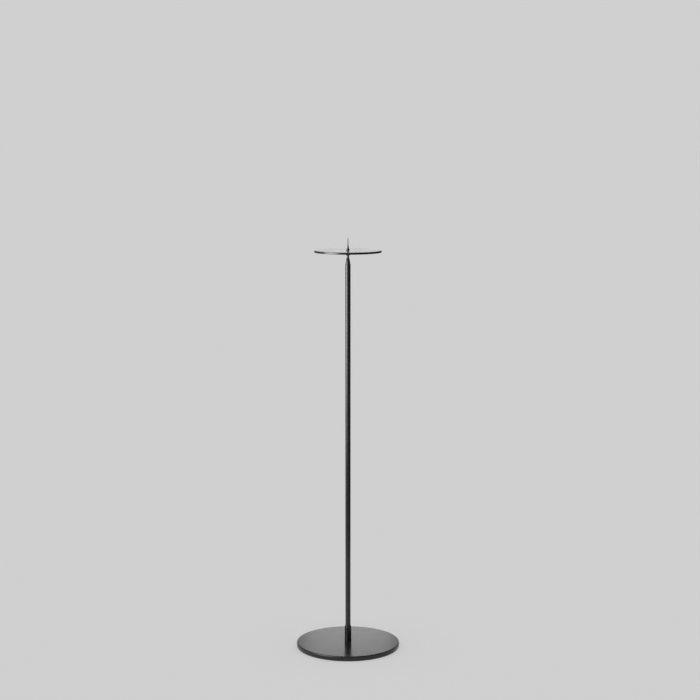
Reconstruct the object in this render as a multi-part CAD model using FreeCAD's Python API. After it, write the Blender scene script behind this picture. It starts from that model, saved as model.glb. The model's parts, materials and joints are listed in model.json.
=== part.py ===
# Floor-standing pricket holder for one pillar candle.
#
# A heavy round base carries a slim tubular stem. The stem's turned tip tapers to a thin neck,
# on which a flat round candle plate is clamped between a flange nut below and the flared,
# threaded foot of the pricket above. One screw from underneath holds the stem to the base.
#
# Units are millimetres. The stem's axis is Z, and Z = 0 is the surface the holder stands on.

import FreeCAD, Part

import math
import os

# ---- driving dimensions -------------------------------------------------------------------
overall_height = 800.0
base_diameter = 200.0
base_thickness = 8.0
mat_thickness = 1.5
plate_diameter = 128.0
plate_thickness = 4.0
stem_diameter = 10.0
stem_wall = 1.0
collar_diameter = 13.0
collar_height = 33.0
pricket_height = 25.5           # from the plate's top face to the point

# ---- thread sizes, with threads drawn as plain cylinders at their major diameter ----------
stem_screw_radius = 3.0         # M6
tip_thread_radius = 1.5         # M3

# ---- base ---------------------------------------------------------------------------------
base_radius = base_diameter / 2
base_edge_round = 2.0
base_foot_chamfer = 0.5
mat_inset = 1.5
mat_hole_radius = 12.0
screw_hole_radius = 3.3
screw_recess_radius = 6.7
screw_recess_depth = 5.0

# ---- base screw: button head with a hexagon socket, and its split spring washer ------------
washer_thickness = 1.6
washer_bore_radius = 3.1
washer_radius = 5.9
washer_slit = 0.8
washer_slit_lean = 20.0         # degrees from upright
head_radius = 5.25
head_height = 3.3
head_rim = 0.5
head_flat_radius = 2.9
head_dome_bow = 0.6
socket_across_flats = 4.0
socket_depth = 2.0
screw_length = 16.0
screw_end_chamfer = 0.8

# ---- stem ---------------------------------------------------------------------------------
stem_radius = stem_diameter / 2
stem_bore_radius = stem_radius - stem_wall
stem_end_round = 0.5
collar_radius = collar_diameter / 2
collar_bevel_height = 4.0
collar_bevel_land = 0.15        # width left flat at the collar's top, around the stem
collar_foot_chamfer = 0.2
foot_plug_length = 22.0
foot_plug_chamfer = 0.5

# ---- stem tip -----------------------------------------------------------------------------
tip_spigot_length = 20.0
tip_spigot_chamfer = 0.6
tip_cone_radius = 4.4
tip_cone_rim = 0.3
tip_cone_length = 11.6
tip_cone_bow = 0.3
neck_radius = 2.2
neck_length = 3.5
tip_thread_reach = 2.5          # how far the thread stands above the plate's top face

# ---- flange nut under the plate -----------------------------------------------------------
flange_nut_height = 6.5
flange_nut_radius = 5.2
flange_nut_small_radius = 2.4
flange_nut_rim = 3.5
flange_nut_round = 0.4

# ---- candle plate -------------------------------------------------------------------------
plate_radius = plate_diameter / 2
plate_edge_round = 0.6
plate_hole_radius = 1.65
plate_seat_depth = 0.3
plate_seat_clearance = 0.15

# ---- pricket: threaded foot and needle, with heights above the plate's top face ------------
foot_radius = 3.0
foot_rim_height = 2.3
foot_shoulder_radius = 2.0
foot_shoulder_height = 3.2
foot_shoulder_bow = 0.2
foot_spire_radius = 0.95
foot_spire_height = 11.5
foot_spire_bow = -0.12
foot_thread_clearance = 0.2
needle_radius = 0.8
needle_tang_radius = 0.5
needle_tang_length = 6.0
needle_taper_length = 5.0
needle_point_radius = 0.12

# ---- levels up the axis -------------------------------------------------------------------
disc_underside = mat_thickness
disc_top = disc_underside + base_thickness
screw_recess_top = disc_underside + screw_recess_depth
screw_seat = screw_recess_top - washer_thickness
plate_top = overall_height - pricket_height
plate_underside = plate_top - plate_thickness
neck_top = plate_underside - flange_nut_height
neck_bottom = neck_top - neck_length
stem_top = neck_bottom - tip_cone_length
thread_top = plate_top + tip_thread_reach
foot_seat = plate_top - plate_seat_depth
spire_top = plate_top + foot_spire_height
tang_bottom = spire_top - needle_tang_length


# ---- shared shapes ------------------------------------------------------------------------
def bowed(radius, height, bow):
    """An outline step that curves to (radius, height). Its middle stands off the straight line
    by bow, away from the axis if bow is positive and towards it if negative."""
    return (radius, height, bow)


def outline_edge(start, end):
    """The line or arc of an outline from one step to the next."""
    start_point = FreeCAD.Vector(start[0], 0, start[1])
    end_point = FreeCAD.Vector(end[0], 0, end[1])
    if len(end) == 2:
        return Part.makeLine(start_point, end_point)
    chord = end_point - start_point
    outward = FreeCAD.Vector(abs(chord.z), 0, -chord.x * math.copysign(1, chord.z)).normalize()
    middle = (start_point + end_point) * 0.5 + outward * end[2]
    return Part.Arc(start_point, middle, end_point).toShape()


def turned(*steps):
    """Solid of revolution about Z. Steps are (radius, height) corners and bowed steps, in order
    round the section, and the outline closes itself."""
    edges = []
    for start, end in zip(steps, steps[1:] + steps[:1]):
        edges.append(outline_edge(start, end))
    section = Part.Face(Part.Wire(edges))
    solid = section.revolve(FreeCAD.Vector(0, 0, 0), FreeCAD.Vector(0, 0, 1), 360)
    if solid.Volume < 0:
        solid.reverse()
    return solid


def round_rims(solid, size, radius, *heights):
    """The solid with its circular rims of one radius rounded, at the heights given."""
    rims = []
    for edge in solid.Edges:
        if not isinstance(edge.Curve, Part.Circle) or abs(edge.Curve.Radius - radius) > 1e-6:
            continue
        if any(abs(edge.Curve.Center.z - height) < 1e-6 for height in heights):
            rims.append(edge)
    return solid.makeFillet(size, rims)


def hexagon_prism(across_flats, bottom, height):
    """Upright hexagonal prism on the axis."""
    corner_radius = across_flats / math.sqrt(3)
    corners = []
    for corner in range(7):
        angle = math.radians(60 * corner)
        x = corner_radius * math.cos(angle)
        y = corner_radius * math.sin(angle)
        corners.append(FreeCAD.Vector(x, y, bottom))
    return Part.Face(Part.makePolygon(corners)).extrude(FreeCAD.Vector(0, 0, height))


# ---- base group ---------------------------------------------------------------------------
def anti_slip_mat():
    """Rubber ring glued under the base, open in the middle to reach the screw."""
    return turned(
        (mat_hole_radius, 0),
        (base_radius - mat_inset, 0),
        (base_radius - mat_inset, mat_thickness),
        (mat_hole_radius, mat_thickness),
    )


def base_disc():
    """Steel disc with a rounded top edge, a screw hole and a recess below for the screw's head."""
    disc = turned(
        (screw_recess_radius, disc_underside),
        (base_radius - base_foot_chamfer, disc_underside),
        (base_radius, disc_underside + base_foot_chamfer),
        (base_radius, disc_top),
        (screw_hole_radius, disc_top),
        (screw_hole_radius, screw_recess_top),
        (screw_recess_radius, screw_recess_top),
    )
    return round_rims(disc, base_edge_round, base_radius, disc_top)


def base_lock_washer():
    """Split spring washer, pressed flat between the screw's head and the disc."""
    ring = turned(
        (washer_bore_radius, screw_seat),
        (washer_radius, screw_seat),
        (washer_radius, screw_recess_top),
        (washer_bore_radius, screw_recess_top),
    )
    slit_height = 3 * washer_thickness
    slit = Part.makeBox(washer_radius, washer_slit, slit_height)
    slit.translate(FreeCAD.Vector(washer_bore_radius / 2, -washer_slit / 2, -slit_height / 2))
    slit.rotate(FreeCAD.Vector(0, 0, 0), FreeCAD.Vector(1, 0, 0), washer_slit_lean)
    slit.translate(FreeCAD.Vector(0, 0, screw_seat + washer_thickness / 2))
    return ring.cut(slit)


def base_screw():
    """Button-head screw, head down, that runs up into the plug in the stem's foot."""
    head_bottom = screw_seat - head_height
    screw_end = screw_seat + screw_length
    screw = turned(
        (0, head_bottom),
        (head_flat_radius, head_bottom),
        bowed(head_radius, screw_seat - head_rim, head_dome_bow),
        (head_radius, screw_seat),
        (stem_screw_radius, screw_seat),
        (stem_screw_radius, screw_end - screw_end_chamfer),
        (stem_screw_radius - screw_end_chamfer, screw_end),
        (0, screw_end),
    )
    return screw.cut(hexagon_prism(socket_across_flats, head_bottom, socket_depth))


# ---- stem group ---------------------------------------------------------------------------
def stem_collar():
    """Sleeve pressed on the stem's foot, bevelled to the stem at its top."""
    collar_top = disc_top + collar_height
    return turned(
        (stem_radius, disc_top),
        (collar_radius - collar_foot_chamfer, disc_top),
        (collar_radius, disc_top + collar_foot_chamfer),
        (collar_radius, collar_top - collar_bevel_height),
        (stem_radius + collar_bevel_land, collar_top),
        (stem_radius, collar_top),
    )


def stem_foot_plug():
    """Tapped plug pressed into the stem's lower end."""
    plug_top = disc_top + foot_plug_length
    return turned(
        (stem_screw_radius, disc_top),
        (stem_bore_radius, disc_top),
        (stem_bore_radius, plug_top - foot_plug_chamfer),
        (stem_bore_radius - foot_plug_chamfer, plug_top),
        (stem_screw_radius, plug_top),
    )


def stem_tube():
    """Straight tube from the base to the tip, with its upper rim rounded."""
    tube = turned(
        (stem_bore_radius, disc_top),
        (stem_radius, disc_top),
        (stem_radius, stem_top),
        (stem_bore_radius, stem_top),
    )
    return round_rims(tube, stem_end_round, stem_radius, stem_top)


def stem_tip():
    """Turned tip: a spigot in the tube, a slim cone, a neck, and a thread for nut and pricket."""
    spigot_bottom = stem_top - tip_spigot_length
    return turned(
        (0, spigot_bottom),
        (stem_bore_radius - tip_spigot_chamfer, spigot_bottom),
        (stem_bore_radius, spigot_bottom + tip_spigot_chamfer),
        (stem_bore_radius, stem_top),
        (tip_cone_radius, stem_top),
        (tip_cone_radius, stem_top + tip_cone_rim),
        bowed(neck_radius, neck_bottom, tip_cone_bow),
        (neck_radius, neck_top),
        (tip_thread_radius, neck_top),
        (tip_thread_radius, thread_top),
        (0, thread_top),
    )


# ---- plate and pricket group --------------------------------------------------------------
def flange_nut():
    """Round nut that the plate rests on, tapered down to the neck."""
    nut = turned(
        (tip_thread_radius, neck_top),
        (flange_nut_small_radius, neck_top),
        (flange_nut_radius, plate_underside - flange_nut_rim),
        (flange_nut_radius, plate_underside),
        (tip_thread_radius, plate_underside),
    )
    return round_rims(nut, flange_nut_round, flange_nut_radius, plate_underside)


def candle_plate():
    """Flat round plate with rounded edges and a shallow seat for the pricket's foot."""
    seat_radius = foot_radius + plate_seat_clearance
    plate = turned(
        (plate_hole_radius, plate_underside),
        (plate_radius, plate_underside),
        (plate_radius, plate_top),
        (seat_radius, plate_top),
        (seat_radius, foot_seat),
        (plate_hole_radius, foot_seat),
    )
    return round_rims(plate, plate_edge_round, plate_radius, plate_underside, plate_top)


def pricket_foot():
    """Threaded foot of the pricket: a low rim that flares up into a slender spire for the needle."""
    return turned(
        (tip_thread_radius, foot_seat),
        (foot_radius, foot_seat),
        (foot_radius, plate_top + foot_rim_height),
        bowed(foot_shoulder_radius, plate_top + foot_shoulder_height, foot_shoulder_bow),
        bowed(foot_spire_radius, spire_top, foot_spire_bow),
        (needle_tang_radius, spire_top),
        (needle_tang_radius, tang_bottom),
        (0, tang_bottom),
        (0, thread_top + foot_thread_clearance),
        (tip_thread_radius, thread_top + foot_thread_clearance),
    )


def pricket_needle():
    """Hard needle that the candle is pushed on to: a tang in the foot, and a shank ground to a point."""
    return turned(
        (0, tang_bottom),
        (needle_tang_radius, tang_bottom),
        (needle_tang_radius, spire_top),
        (needle_radius, spire_top),
        (needle_radius, overall_height - needle_taper_length),
        (needle_point_radius, overall_height),
        (0, overall_height),
    )


PIECES = {
    "anti_slip_mat": anti_slip_mat,
    "base_disc": base_disc,
    "base_lock_washer": base_lock_washer,
    "base_screw": base_screw,
    "stem_collar": stem_collar,
    "stem_foot_plug": stem_foot_plug,
    "stem_tube": stem_tube,
    "stem_tip": stem_tip,
    "flange_nut": flange_nut,
    "candle_plate": candle_plate,
    "pricket_foot": pricket_foot,
    "pricket_needle": pricket_needle,
}


def main():
    os.makedirs("parts", exist_ok=True)
    for name, make in PIECES.items():
        shape = make()
        if not shape.isValid() or len(shape.Solids) != 1:
            raise RuntimeError(f"{name} is not one valid solid")
        shape.exportStep(f"parts/{name}.step")
        print(f"{name}: {shape.Volume / 1000:.3f} cm3")


main()
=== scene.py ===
# The looks of the pricket holder: smooth lathed meshes for its turned pieces, finishes for coated
# steel, zinc plate and rubber, and a plain pale studio. Lengths are metres, in the frame of the
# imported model. The stem's axis is Z, and the camera looks along +Y.

import json
import math

import bmesh
import bpy
from mathutils import Matrix, Vector


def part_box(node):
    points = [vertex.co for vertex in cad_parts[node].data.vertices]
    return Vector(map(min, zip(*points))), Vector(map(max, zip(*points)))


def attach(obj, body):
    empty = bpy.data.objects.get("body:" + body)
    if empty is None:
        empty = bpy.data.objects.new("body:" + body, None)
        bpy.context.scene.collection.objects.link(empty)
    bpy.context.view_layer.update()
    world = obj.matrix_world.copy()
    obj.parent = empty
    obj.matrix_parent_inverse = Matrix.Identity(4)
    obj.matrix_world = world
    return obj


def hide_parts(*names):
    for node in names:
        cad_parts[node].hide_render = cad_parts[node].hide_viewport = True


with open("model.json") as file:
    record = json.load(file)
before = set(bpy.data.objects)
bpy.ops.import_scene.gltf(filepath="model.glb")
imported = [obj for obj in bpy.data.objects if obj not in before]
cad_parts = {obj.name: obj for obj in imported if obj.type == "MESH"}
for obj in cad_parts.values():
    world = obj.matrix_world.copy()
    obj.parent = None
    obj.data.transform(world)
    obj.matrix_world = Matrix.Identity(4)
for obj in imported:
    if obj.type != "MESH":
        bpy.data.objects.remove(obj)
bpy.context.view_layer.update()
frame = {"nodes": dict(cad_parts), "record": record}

MILLIMETRE = 0.001


# ---- camera ---------------------------------------------------------------------------------
CAMERA_DISTANCE = 3.180         # from the stem's axis
CAMERA_HEIGHT = 0.9995
CAMERA_SIDE = 0.0039            # to the right of the stem's axis
CAMERA_PITCH = 7.452            # degrees below the horizontal
CAMERA_REACH = 200              # takes in the whole floor
LENS = 86.25                    # millimetres, like the sensor's width
SENSOR_WIDTH = 36


def add_camera():
    data = bpy.data.cameras.new("camera")
    data.lens = LENS
    data.sensor_width = SENSOR_WIDTH
    data.clip_end = CAMERA_REACH
    camera = bpy.data.objects.new("camera", data)
    camera.location = (CAMERA_SIDE, -CAMERA_DISTANCE, CAMERA_HEIGHT)
    camera.rotation_euler = (math.radians(90 - CAMERA_PITCH), 0, 0)
    bpy.context.scene.collection.objects.link(camera)
    bpy.context.scene.camera = camera


# ---- node helpers ---------------------------------------------------------------------------
class Nodes:
    """A node tree of a material, a light or the world, with short calls for the nodes in use."""

    def __init__(self, tree):
        self.tree = tree

    def add(self, kind, **settings):
        node = self.tree.nodes.new(kind)
        for key, value in settings.items():
            setattr(node, key, value)
        return node

    def link(self, source, target):
        self.tree.links.new(source, target)

    def coordinate(self, kind):
        return self.add("ShaderNodeTexCoord").outputs[kind]

    def apart(self, vector):
        """The X, Y and Z of a vector."""
        node = self.add("ShaderNodeSeparateXYZ")
        self.link(vector, node.inputs["Vector"])
        return node.outputs["X"], node.outputs["Y"], node.outputs["Z"]

    def spread(self, value, low, high, start, stop):
        """Value from start to stop, mapped smoothly to low to high."""
        node = self.add("ShaderNodeMapRange", interpolation_type="SMOOTHSTEP")
        for socket, number in zip(("From Min", "From Max", "To Min", "To Max"), (start, stop, low, high)):
            node.inputs[socket].default_value = number
        self.link(value, node.inputs["Value"])
        return node.outputs["Result"]

    def either(self, share, first, second):
        """Number between first and second, which are sockets or numbers."""
        node = self.add("ShaderNodeMix", data_type="FLOAT")
        self.link(share, node.inputs["Factor"])
        for socket, value in ((node.inputs["A"], first), (node.inputs["B"], second)):
            if isinstance(value, bpy.types.NodeSocket):
                self.link(value, socket)
            else:
                socket.default_value = value
        return node.outputs["Result"]


class Finish(Nodes):
    """A material whose colour, roughness and relief follow noise. Its patches keep their real size."""

    NOISE_RANGE = (0.3, 0.7)    # where nearly all of Blender's noise lies

    def __init__(self, name):
        self.material = bpy.data.materials.new(name)
        self.material.use_nodes = True
        super().__init__(self.material.node_tree)
        self.surface = self.tree.nodes["Principled BSDF"]
        self.place = self.coordinate("Object")
        self.normal = None

    def noise(self, size, detail):
        """Noise with patches of about this size."""
        node = self.add("ShaderNodeTexNoise")
        node.inputs["Scale"].default_value = 1 / size
        node.inputs["Detail"].default_value = detail
        self.link(self.place, node.inputs["Vector"])
        return node.outputs["Fac"]

    def colour(self, size, detail, dark, light):
        node = self.add("ShaderNodeMix", data_type="RGBA")
        node.inputs["A"].default_value = (*dark, 1)
        node.inputs["B"].default_value = (*light, 1)
        share = self.spread(self.noise(size, detail), 0, 1, *self.NOISE_RANGE)
        self.link(share, node.inputs["Factor"])
        self.link(node.outputs["Result"], self.surface.inputs["Base Color"])

    def roughness(self, size, detail, low, high):
        value = self.spread(self.noise(size, detail), low, high, *self.NOISE_RANGE)
        self.link(value, self.surface.inputs["Roughness"])

    def relief(self, size, detail, depth):
        """Bumps of this depth, on top of any earlier relief."""
        node = self.add("ShaderNodeBump")
        node.inputs["Distance"].default_value = depth
        self.link(self.noise(size, detail), node.inputs["Height"])
        if self.normal:
            self.link(self.normal, node.inputs["Normal"])
        self.normal = node.outputs["Normal"]
        self.link(self.normal, self.surface.inputs["Normal"])


# ---- finishes -------------------------------------------------------------------------------
def powder_coat():
    """Satin black powder coat: fine orange peel, a finer grain in it, and slow shifts of tint and gloss."""
    coat = Finish("black_powder_coat")
    coat.surface.inputs["IOR"].default_value = 1.5
    coat.colour(size=14 * MILLIMETRE, detail=3, dark=(0.010, 0.010, 0.0105), light=(0.014, 0.014, 0.0145))
    coat.roughness(size=30 * MILLIMETRE, detail=4, low=0.21, high=0.24)
    coat.relief(size=1.8 * MILLIMETRE, detail=1, depth=0.012 * MILLIMETRE)
    coat.relief(size=0.35 * MILLIMETRE, detail=2, depth=0.002 * MILLIMETRE)
    return coat.material


def zinc_plate():
    """Bright zinc plate with small changes of tint and gloss, and a fine grain."""
    zinc = Finish("zinc_plated_steel")
    zinc.surface.inputs["Metallic"].default_value = 1.0
    zinc.colour(size=1.5 * MILLIMETRE, detail=3, dark=(0.52, 0.53, 0.55), light=(0.66, 0.66, 0.65))
    zinc.roughness(size=0.8 * MILLIMETRE, detail=2, low=0.22, high=0.38)
    zinc.relief(size=0.25 * MILLIMETRE, detail=2, depth=0.004 * MILLIMETRE)
    return zinc.material


def mat_rubber():
    """Matt black rubber with a fine moulded grain."""
    rubber = Finish("mat_rubber")
    rubber.colour(size=6 * MILLIMETRE, detail=4, dark=(0.022, 0.022, 0.022), light=(0.040, 0.039, 0.038))
    rubber.roughness(size=3 * MILLIMETRE, detail=2, low=0.72, high=0.88)
    rubber.relief(size=0.6 * MILLIMETRE, detail=3, depth=0.08 * MILLIMETRE)
    return rubber.material


MATERIALS = {
    "black_powder_coat": powder_coat(),
    "zinc_plated_steel": zinc_plate(),
    "mat_rubber": mat_rubber(),
}
SLOTS = {part["node"]: part["material_slot"] for part in frame["record"]["subparts"]}


# ---- lathe ----------------------------------------------------------------------------------
ARC_TURN = math.radians(10)     # largest turn from one point of a round to the next
LONGEST_FACE = 12 * MILLIMETRE  # along the outline


def rounded_corner(before, corner, after, size):
    """Points of a round of this radius between the two straight sides of a corner."""
    back = (before - corner).normalized()
    onward = (after - corner).normalized()
    half = back.angle(onward) / 2
    centre = corner + (back + onward).normalized() * size / math.sin(half)
    start = corner + back * size / math.tan(half) - centre
    turn = math.pi - 2 * half
    if back.cross(onward) > 0:
        turn = -turn
    steps = max(2, math.ceil(abs(turn) / ARC_TURN))
    points = []
    for step in range(steps + 1):
        points.append(centre + Matrix.Rotation(turn * step / steps, 2) @ start)
    return points


def outline(*corners):
    """Outline of a turned piece, in order, as (point, crisp) pairs. A corner is (radius, height) where it
    is crisp, (radius, height, round) where it is rounded, and has a round of 0 along a curve."""
    places = [Vector(corner[:2]) for corner in corners]
    made = []
    for index, (place, corner) in enumerate(zip(places, corners)):
        if len(corner) == 3 and corner[2] > 0:
            after = places[(index + 1) % len(places)]
            for point in rounded_corner(places[index - 1], place, after, corner[2]):
                made.append((point, False))
        else:
            made.append((place, len(corner) == 2))
    return made


def bow(start, end, depth, steps=12):
    """Corners along a shallow bow between two others. It swells away from the axis if its depth is
    positive."""
    start, end = Vector(start[:2]), Vector(end[:2])
    along = end - start
    outward = Vector((along.y, -along.x)).normalized() * depth
    corners = []
    for step in range(1, steps):
        share = step / steps
        corners.append((*(start + along * share + outward * 4 * share * (1 - share)), 0))
    return corners


def divided(points, closed):
    """The outline with its long straight sides divided, so that faces stay compact."""
    made = []
    count = len(points)
    for index, (point, crisp) in enumerate(points):
        made.append((point, crisp))
        if index == count - 1 and not closed:
            break
        after = points[(index + 1) % count][0]
        parts = math.ceil((after - point).length / LONGEST_FACE)
        for part in range(1, parts):
            made.append((point.lerp(after, part / parts), False))
    return made


def add_circle(shape, point, crisp, sides):
    """The corners that a point of an outline makes as it turns. On the axis they are all one."""
    if point.x == 0:
        return [shape.verts.new((0, 0, point.y))] * sides
    circle = []
    for side in range(sides):
        angle = 2 * math.pi * side / sides
        circle.append(shape.verts.new((point.x * math.cos(angle), point.x * math.sin(angle), point.y)))
    for side in range(sides):
        shape.edges.new((circle[side - 1], circle[side])).smooth = not crisp
    return circle


def lathe(name, points, sides):
    """Solid of revolution about the stem's axis. An outline that starts on the axis ends on it."""
    closed = points[0][0].x > 0
    shape = bmesh.new()
    circles = [add_circle(shape, point, crisp, sides) for point, crisp in divided(points, closed)]
    followers = circles[1:] + circles[:1] if closed else circles[1:]
    for lower, upper in zip(circles, followers):
        for side in range(sides):
            corners = (lower[side - 1], lower[side], upper[side], upper[side - 1])
            shape.faces.new(dict.fromkeys(corners)).smooth = True
    bmesh.ops.recalc_face_normals(shape, faces=shape.faces)
    mesh = bpy.data.meshes.new(name)
    shape.to_mesh(mesh)
    shape.free()
    thing = bpy.data.objects.new(name, mesh)
    bpy.context.scene.collection.objects.link(thing)
    normals = thing.modifiers.new("flat_faces_lead", "WEIGHTED_NORMAL")
    normals.keep_sharp = True
    return thing


def stand_for(node, points, sides):
    """Lathes the visible piece for a CAD node, in the node's finish."""
    thing = lathe(f"{node}_turned", points, sides)
    thing.data.materials.append(MATERIALS[SLOTS[node]])
    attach(thing, "root")
    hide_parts(node)
    return thing


# ---- what the boxes of the CAD nodes say ----------------------------------------------------
def radius_of(node):
    """Outer radius of a CAD node."""
    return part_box(node)[1].x


def bottom_of(node):
    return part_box(node)[0].z


def top_of(node):
    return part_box(node)[1].z


def extent_of(node):
    """Outer radius, bottom and top of a CAD node."""
    return radius_of(node), bottom_of(node), top_of(node)


# ---- what they don't say --------------------------------------------------------------------
DISC_SIDES = 256
STEM_SIDES = 96
NEEDLE_SIDES = 64
COAT_ROUND = 0.12 * MILLIMETRE  # how far the coat softens a cut edge

MAT_OPENING = 12 * MILLIMETRE
MAT_ROUND = 0.3 * MILLIMETRE
SCREW_HOLE = 3.3 * MILLIMETRE
SCREW_RECESS = 6.7 * MILLIMETRE
BASE_ROUND = 2 * MILLIMETRE
BASE_FOOT_CHAMFER = 0.5 * MILLIMETRE

COLLAR_BEVEL = 4 * MILLIMETRE
COLLAR_BEVEL_ROUND = 4 * COAT_ROUND
COLLAR_LAND = 0.15 * MILLIMETRE
COLLAR_FOOT_CHAMFER = 0.2 * MILLIMETRE
STEM_END_ROUND = 0.5 * MILLIMETRE

SPIGOT_CHAMFER = 0.6 * MILLIMETRE
CONE_RIM = 0.3 * MILLIMETRE
CONE_BOW = 0.3 * MILLIMETRE
NECK_RADIUS = 2.2 * MILLIMETRE
NECK_LENGTH = 3.5 * MILLIMETRE
THREAD_RADIUS = 1.5 * MILLIMETRE

NUT_SMALL_RADIUS = 2.4 * MILLIMETRE
NUT_RIM = 3.5 * MILLIMETRE
NUT_RIM_ROUND = 2 * COAT_ROUND
NUT_ROUND = 0.4 * MILLIMETRE

PLATE_ROUND = 0.6 * MILLIMETRE
PLATE_HOLE = 1.65 * MILLIMETRE
PLATE_SEAT_CLEARANCE = 0.15 * MILLIMETRE

FOOT_RIM = 2.3 * MILLIMETRE
SHOULDER_RADIUS = 2.0 * MILLIMETRE
SHOULDER_HEIGHT = 3.2 * MILLIMETRE
SHOULDER_BOW = 0.2 * MILLIMETRE
SPIRE_RADIUS = 0.95 * MILLIMETRE
SPIRE_BOW = -0.12 * MILLIMETRE
FOOT_THREAD_CLEARANCE = 0.2 * MILLIMETRE
NEEDLE_TANG_RADIUS = 0.5 * MILLIMETRE
NEEDLE_TAPER = 5 * MILLIMETRE
NEEDLE_TAPER_ROUND = 8 * COAT_ROUND
NEEDLE_POINT = 0.12 * MILLIMETRE


# ---- turned pieces --------------------------------------------------------------------------
def mat_outline():
    """Rubber ring, rounded where it meets the floor."""
    outer, bottom, top = extent_of("anti_slip_mat")
    return outline(
        (MAT_OPENING, bottom, MAT_ROUND),
        (outer, bottom, MAT_ROUND),
        (outer, top),
        (MAT_OPENING, top),
    )


def disc_outline():
    """Disc with a rounded top edge, and a hole and a recess for the screw."""
    outer, bottom, top = extent_of("base_disc")
    recess_top = top_of("base_lock_washer")
    return outline(
        (SCREW_RECESS, bottom, COAT_ROUND),
        (outer - BASE_FOOT_CHAMFER, bottom, COAT_ROUND),
        (outer, bottom + BASE_FOOT_CHAMFER, COAT_ROUND),
        (outer, top, BASE_ROUND),
        (SCREW_HOLE, top),
        (SCREW_HOLE, recess_top),
        (SCREW_RECESS, recess_top),
    )


def collar_outline():
    """Sleeve with a bevel up to the tube."""
    outer, bottom, top = extent_of("stem_collar")
    bore = radius_of("stem_tube")
    return outline(
        (bore, bottom),
        (outer - COLLAR_FOOT_CHAMFER, bottom),
        (outer, bottom + COLLAR_FOOT_CHAMFER),
        (outer, top - COLLAR_BEVEL, COLLAR_BEVEL_ROUND),
        (bore + COLLAR_LAND, top),
        (bore, top),
    )


def tube_outline():
    """Tube with its upper rim rounded."""
    outer, bottom, top = extent_of("stem_tube")
    bore = radius_of("stem_foot_plug")
    return outline((bore, bottom), (outer, bottom), (outer, top, STEM_END_ROUND), (bore, top))


def tip_outline():
    """Spigot in the tube, bowed cone, neck and thread."""
    outer, bottom, top = extent_of("stem_tip")
    spigot = radius_of("stem_foot_plug")
    shoulder = top_of("stem_tube")
    neck_top = bottom_of("flange_nut")
    cone = (outer, shoulder + CONE_RIM, 0)
    neck = (NECK_RADIUS, neck_top - NECK_LENGTH, 0)
    return outline(
        (0, bottom),
        (spigot - SPIGOT_CHAMFER, bottom),
        (spigot, bottom + SPIGOT_CHAMFER),
        (spigot, shoulder),
        (outer, shoulder),
        cone,
        *bow(cone, neck, CONE_BOW),
        neck,
        (NECK_RADIUS, neck_top),
        (THREAD_RADIUS, neck_top),
        (THREAD_RADIUS, top),
        (0, top),
    )


def nut_outline():
    """Round nut, tapered down to the neck."""
    outer, bottom, top = extent_of("flange_nut")
    return outline(
        (THREAD_RADIUS, bottom),
        (NUT_SMALL_RADIUS, bottom, COAT_ROUND),
        (outer, top - NUT_RIM, NUT_RIM_ROUND),
        (outer, top, NUT_ROUND),
        (THREAD_RADIUS, top),
    )


def plate_outline():
    """Flat plate with rounded edges and a shallow seat for the pricket's foot."""
    outer, bottom, top = extent_of("candle_plate")
    seat = radius_of("pricket_foot") + PLATE_SEAT_CLEARANCE
    seat_floor = bottom_of("pricket_foot")
    return outline(
        (PLATE_HOLE, bottom),
        (outer, bottom, PLATE_ROUND),
        (outer, top, PLATE_ROUND),
        (seat, top, COAT_ROUND),
        (seat, seat_floor),
        (PLATE_HOLE, seat_floor),
    )


def pricket_foot_outline():
    """Low rim that flares up into a slender spire, hollow for the thread and the needle."""
    outer, bottom, top = extent_of("pricket_foot")
    plate_top = top_of("candle_plate")
    thread_end = top_of("stem_tip") + FOOT_THREAD_CLEARANCE
    tang_bottom = bottom_of("pricket_needle")
    rim = (outer, plate_top + FOOT_RIM, 0)
    shoulder = (SHOULDER_RADIUS, plate_top + SHOULDER_HEIGHT, 0)
    spire = (SPIRE_RADIUS, top)
    return outline(
        (0, thread_end),
        (THREAD_RADIUS, thread_end),
        (THREAD_RADIUS, bottom),
        (outer, bottom),
        rim,
        *bow(rim, shoulder, SHOULDER_BOW),
        shoulder,
        *bow(shoulder, spire, SPIRE_BOW, steps=20),
        spire,
        (NEEDLE_TANG_RADIUS, top),
        (NEEDLE_TANG_RADIUS, tang_bottom),
        (0, tang_bottom),
    )


def needle_outline():
    """Tang in the foot, straight shank and ground point."""
    outer, bottom, top = extent_of("pricket_needle")
    spire_top = top_of("pricket_foot")
    return outline(
        (0, bottom),
        (NEEDLE_TANG_RADIUS, bottom),
        (NEEDLE_TANG_RADIUS, spire_top),
        (outer, spire_top),
        (outer, top - NEEDLE_TAPER, NEEDLE_TAPER_ROUND),
        (NEEDLE_POINT, top),
        (0, top),
    )


TURNED_PIECES = {
    "anti_slip_mat": (mat_outline, DISC_SIDES),
    "base_disc": (disc_outline, DISC_SIDES),
    "stem_collar": (collar_outline, STEM_SIDES),
    "stem_tube": (tube_outline, STEM_SIDES),
    "stem_tip": (tip_outline, STEM_SIDES),
    "flange_nut": (nut_outline, STEM_SIDES),
    "candle_plate": (plate_outline, DISC_SIDES),
    "pricket_foot": (pricket_foot_outline, NEEDLE_SIDES),
    "pricket_needle": (needle_outline, NEEDLE_SIDES),
}


def turn_pieces():
    turned = {}
    for node, (outline_of_piece, sides) in TURNED_PIECES.items():
        turned[node] = stand_for(node, outline_of_piece(), sides)
    return turned


def finish_kept_nodes():
    """Gives the CAD nodes that stay, which are the screw, its washer and the plug, their finish."""
    kept = {node: thing for node, thing in frame["nodes"].items() if node not in TURNED_PIECES}
    for node, thing in kept.items():
        for slot in thing.material_slots:
            slot.material = MATERIALS[SLOTS[node]]
    return kept


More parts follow.
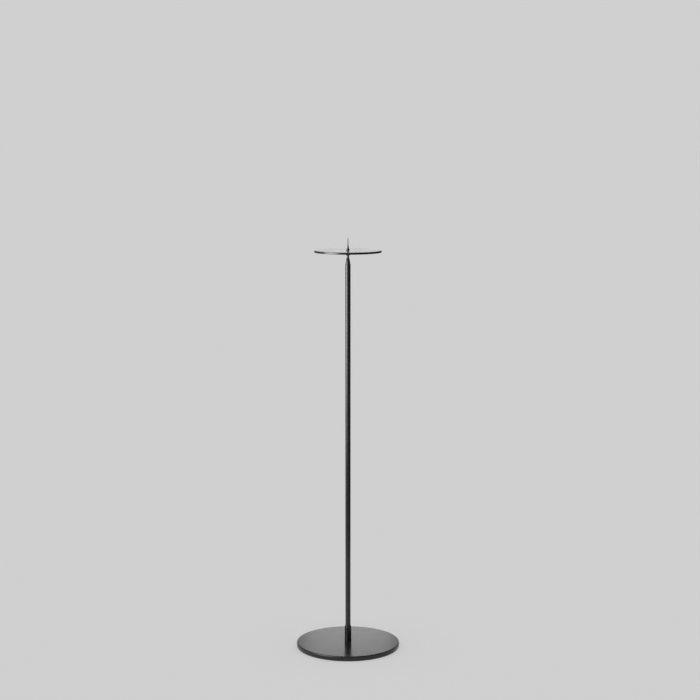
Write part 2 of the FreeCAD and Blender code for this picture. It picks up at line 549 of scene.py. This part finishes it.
# ---- studio: floor --------------------------------------------------------------------------
FLOOR_COLOUR = (0.7, 0.7, 0.7)
FLOOR_GLOW = 0.40               # what the floor gives of itself, which no shadow dims
FLOOR_SUN = 0.40                # strength of the light that falls on it from above
FLOOR_SUN_WIDTH = 25            # degrees across, which softens its shadow
FLOOR_DROP = 0.2 * MILLIMETRE   # keeps the floor clear of the mat's underside
FLOOR_MIDDLE = 0.1 * MILLIMETRE  # radius left open at the axis
NEAR_FLOOR = 0.8                # the holder reflects the floor this far out
FAR_FLOOR = 90.0


def shine_only_on(light, objects):
    """Makes a light shine on these objects alone."""
    receivers = bpy.data.collections.new(f"{light.name}_receivers")
    for thing in objects:
        receivers.objects.link(thing)
    light.light_linking.receiver_collection = receivers


def add_ring(name, inner, outer, sides=128):
    """Flat ring of the floor, facing up."""
    corners, faces = [], []
    for radius in (inner, outer):
        for side in range(sides):
            angle = 2 * math.pi * side / sides
            corners.append((radius * math.cos(angle), radius * math.sin(angle), -FLOOR_DROP))
    for side in range(sides):
        after = (side + 1) % sides
        faces.append((side, sides + side, sides + after, after))
    mesh = bpy.data.meshes.new(name)
    mesh.from_pydata(corners, [], faces)
    thing = bpy.data.objects.new(name, mesh)
    bpy.context.scene.collection.objects.link(thing)
    return thing


def add_floor():
    """Pale floor: a round near part that the holder reflects, and a far part that only the camera sees."""
    material = bpy.data.materials.new("floor")
    material.use_nodes = True
    surface = material.node_tree.nodes["Principled BSDF"]
    surface.inputs["Base Color"].default_value = (*FLOOR_COLOUR, 1)
    surface.inputs["Roughness"].default_value = 1.0
    surface.inputs["Specular IOR Level"].default_value = 0.0
    surface.inputs["Emission Color"].default_value = (1, 1, 1, 1)
    surface.inputs["Emission Strength"].default_value = FLOOR_GLOW
    near = add_ring("floor_near", FLOOR_MIDDLE, NEAR_FLOOR)
    far = add_ring("floor_far", NEAR_FLOOR, FAR_FLOOR)
    far.visible_glossy = False
    far.visible_diffuse = False
    for floor in (near, far):
        floor.data.materials.append(material)
    return near, far


def add_sun(floors):
    """Soft light from straight above, for the floor alone."""
    data = bpy.data.lights.new("floor_light", "SUN")
    data.energy = FLOOR_SUN
    data.angle = math.radians(FLOOR_SUN_WIDTH)
    light = bpy.data.objects.new("floor_light", data)
    bpy.context.scene.collection.objects.link(light)
    shine_only_on(light, floors)


# ---- studio: world --------------------------------------------------------------------------
BACKDROP = 0.63                 # radiance behind the floor, as the camera sees it

# Radiance as the holder reflects it. A wall's is given low down and high up.
SIDE_WALLS = (0.05, 0.3)
BACK_WALL = (1.5, 0.4)
CEILING = 0.03
OUTER_FLOOR = 0.12              # beyond the near floor

# Where one part of the room goes over into the next, on a scale of 0 to 1 from level to straight
# up, or from the side to straight back.
LOW_TO_HIGH = (0.10, 0.30)
SIDE_TO_BACK = (0.85, 0.985)
WALL_TO_CEILING = (0.70, 0.90)
FLOOR_TO_WALL = (-0.04, 0.02)


def add_world():
    """Pale backdrop for the camera. All else sees a room with a dark ceiling, side walls that are dark
    near the floor, and a back wall that is brightest there."""
    world = bpy.data.worlds.new("studio")
    bpy.context.scene.world = world
    world.use_nodes = True
    nodes = Nodes(world.node_tree)
    _, back, up = nodes.apart(nodes.coordinate("Generated"))
    side_walls = nodes.spread(up, *SIDE_WALLS, *LOW_TO_HIGH)
    back_wall = nodes.spread(up, *BACK_WALL, *LOW_TO_HIGH)
    walls = nodes.either(nodes.spread(back, 0, 1, *SIDE_TO_BACK), side_walls, back_wall)
    above_floor = nodes.either(nodes.spread(up, 0, 1, *WALL_TO_CEILING), walls, CEILING)
    room = nodes.either(nodes.spread(up, 0, 1, *FLOOR_TO_WALL), OUTER_FLOOR, above_floor)
    seen = nodes.add("ShaderNodeLightPath").outputs["Is Camera Ray"]
    background = nodes.tree.nodes["Background"]
    nodes.link(nodes.either(seen, room, BACKDROP), background.inputs["Strength"])
    background.inputs["Color"].default_value = (1, 1, 1, 1)


# ---- studio: softboxes ----------------------------------------------------------------------
SOFTBOX_AZIMUTH = 59            # degrees to the left of straight in front
SOFTBOX_DISTANCE = 1.3          # from the stem's axis
SOFTBOX_HEIGHT = 1.2            # of its middle
SOFTBOX_SIZE = (1.7, 2.3)       # width and height
SOFTBOX_FADE = (0.35, 0.2)      # share of the width at each side, and of the height at the foot
SOFTBOX_RADIANCE = 9.9
BASE_SHARE = 0.55               # how much of that radiance the base gets, and the collar
COLLAR_SHARE = 0.2

BACKLIGHT_AZIMUTH = 180
BACKLIGHT_DISTANCE = 1.0
BACKLIGHT_HEIGHT = 0.17
BACKLIGHT_SIZE = (0.23, 0.45)
BACKLIGHT_FADE = (0.01, 0.01)
BACKLIGHT_RADIANCE = 0.89


def around_axis(azimuth, distance, height):
    angle = math.radians(azimuth)
    return Vector((-distance * math.sin(angle), -distance * math.cos(angle), height))


def add_softbox(name, place, size, fade, radiance, pieces):
    """Rectangular light that faces the stem's axis, for some pieces alone, unseen by the camera. Its
    brightness fades out at its sides and its foot."""
    width, height = size
    data = bpy.data.lights.new(name, "AREA")
    data.shape = "RECTANGLE"
    data.size = width
    data.size_y = height
    data.energy = radiance * width * height * math.pi
    light = bpy.data.objects.new(name, data)
    light.location = place
    light.rotation_euler = Vector((*place.xy, 0)).to_track_quat("Z", "Y").to_euler()
    light.visible_camera = False
    bpy.context.scene.collection.objects.link(light)
    shine_only_on(light, pieces)
    data.use_nodes = True
    nodes = Nodes(data.node_tree)
    across, up, _ = nodes.apart(nodes.add("ShaderNodeNewGeometry").outputs["Parametric"])
    side, foot = fade
    sides = nodes.either(nodes.spread(across, 0, 1, 0, side), 0, nodes.spread(across, 1, 0, 1 - side, 1))
    brightness = nodes.either(nodes.spread(up, 0, 1, 0, foot), 0, sides)
    nodes.link(brightness, nodes.tree.nodes["Emission"].inputs["Strength"])


def add_lights(pieces):
    """A tall softbox at the front left, dimmer for the base and the collar, and a small light behind the
    base for the base alone."""
    base = [pieces["base_disc"]]
    collar = [pieces["stem_collar"]]
    others = [piece for piece in pieces.values() if piece not in base + collar]
    place = around_axis(SOFTBOX_AZIMUTH, SOFTBOX_DISTANCE, SOFTBOX_HEIGHT)
    for name, share, lit in (
        ("softbox", 1, others),
        ("base_softbox", BASE_SHARE, base),
        ("collar_softbox", COLLAR_SHARE, collar),
    ):
        add_softbox(name, place, SOFTBOX_SIZE, SOFTBOX_FADE, SOFTBOX_RADIANCE * share, lit)
    place = around_axis(BACKLIGHT_AZIMUTH, BACKLIGHT_DISTANCE, BACKLIGHT_HEIGHT)
    add_softbox("backlight", place, BACKLIGHT_SIZE, BACKLIGHT_FADE, BACKLIGHT_RADIANCE, base)


def main():
    bpy.context.scene.view_settings.view_transform = "Standard"
    add_camera()
    pieces = {**turn_pieces(), **finish_kept_nodes()}
    add_sun(add_floor())
    add_world()
    add_lights(pieces)


main()
